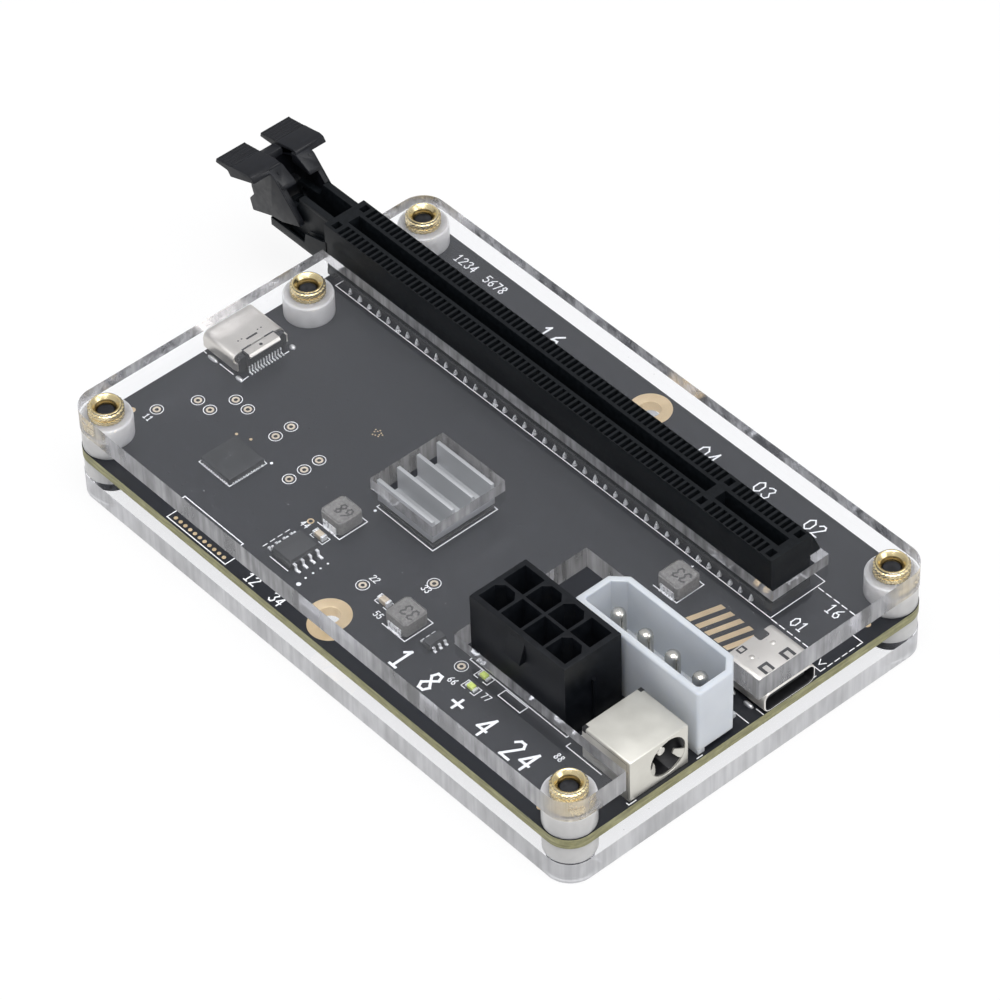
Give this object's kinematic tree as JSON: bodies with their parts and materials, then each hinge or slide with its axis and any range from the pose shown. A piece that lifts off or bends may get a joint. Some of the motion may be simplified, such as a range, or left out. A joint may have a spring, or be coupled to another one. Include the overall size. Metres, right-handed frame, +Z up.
{
  "type": "expansion card dock",
  "caption": "Open-frame dock for one expansion card: clear plates around a circuit board with a full-length card slot, pivoting card latch, small ports, barrel jack and power headers.",
  "frame": {"origin": "centre of the underside of the lower clear plate", "axes": "+X along the card slot, away from the card latch; +Y across the board towards the card slot; +Z up, out of the top plate"},
  "size_m": [0.1199, 0.0634, 0.0215],
  "materials": {
    "clear_sheet": "clear cast sheet with sawn edges",
    "white_nylon": "satin",
    "insert_brass": "knurled",
    "black_steel": "black oxide",
    "board_black": "solder mask, semi-gloss",
    "gold_plate": "gold plated",
    "slot_black": "moulded, satin",
    "solder": "tinned",
    "port_steel": "nickel plated",
    "insulator_black": "moulded",
    "header_black": "moulded, satin",
    "header_white": "natural nylon",
    "chip_black": "moulded",
    "pad_grey": "soft pad",
    "sink_aluminium": "extruded",
    "inductor_grey": "pressed powder",
    "led_green": "tinted resin",
    "capacitor_tan": "fired"
  },
  "bodies": {
    "chassis": {"bottom_plate": "clear_sheet", "top_plate": "clear_sheet", "lower_spacers": "white_nylon", "upper_spacers": "white_nylon", "threaded_inserts": "insert_brass", "assembly_screws": "black_steel", "circuit_board": "board_black", "plated_rings": "gold_plate", "test_pads": "gold_plate", "slot_housing": "slot_black", "slot_contacts_near": "gold_plate", "slot_contacts_far": "gold_plate", "slot_solder_joints": "solder", "host_port_shell": "port_steel", "host_port_tongue": "insulator_black", "host_port_contacts": "gold_plate", "power_port_shell": "port_steel", "power_port_tongue": "insulator_black", "power_port_contacts": "gold_plate", "barrel_jack_shield": "port_steel", "barrel_jack_body": "insulator_black", "barrel_jack_pin": "port_steel", "cpu_power_header": "header_black", "cpu_power_pins": "gold_plate", "drive_power_header": "header_white", "drive_power_pins": "port_steel", "controller_chip": "chip_black", "thermal_pad": "pad_grey", "heatsink": "sink_aluminium", "inductor_bodies": "inductor_grey", "inductor_terminals": "solder", "eight_lead_chip": "chip_black", "eight_lead_chip_leads": "solder", "six_lead_chip": "chip_black", "six_lead_chip_leads": "solder", "square_chip": "chip_black", "square_chip_pads": "solder", "led_lenses": "led_green", "led_terminals": "solder", "capacitor_bodies": "capacitor_tan", "capacitor_terminals": "solder"},
    "latch": {"latch_lever": "slot_black"}
  },
  "joints": [
    {"name": "card_latch_pivot", "type": "hinge", "parent": "chassis", "child": "latch", "pos_m": [-0.0606, 0.0175, 0.0149], "axis": [0, 1, 0], "range_deg": [0, 22]}
  ]
}
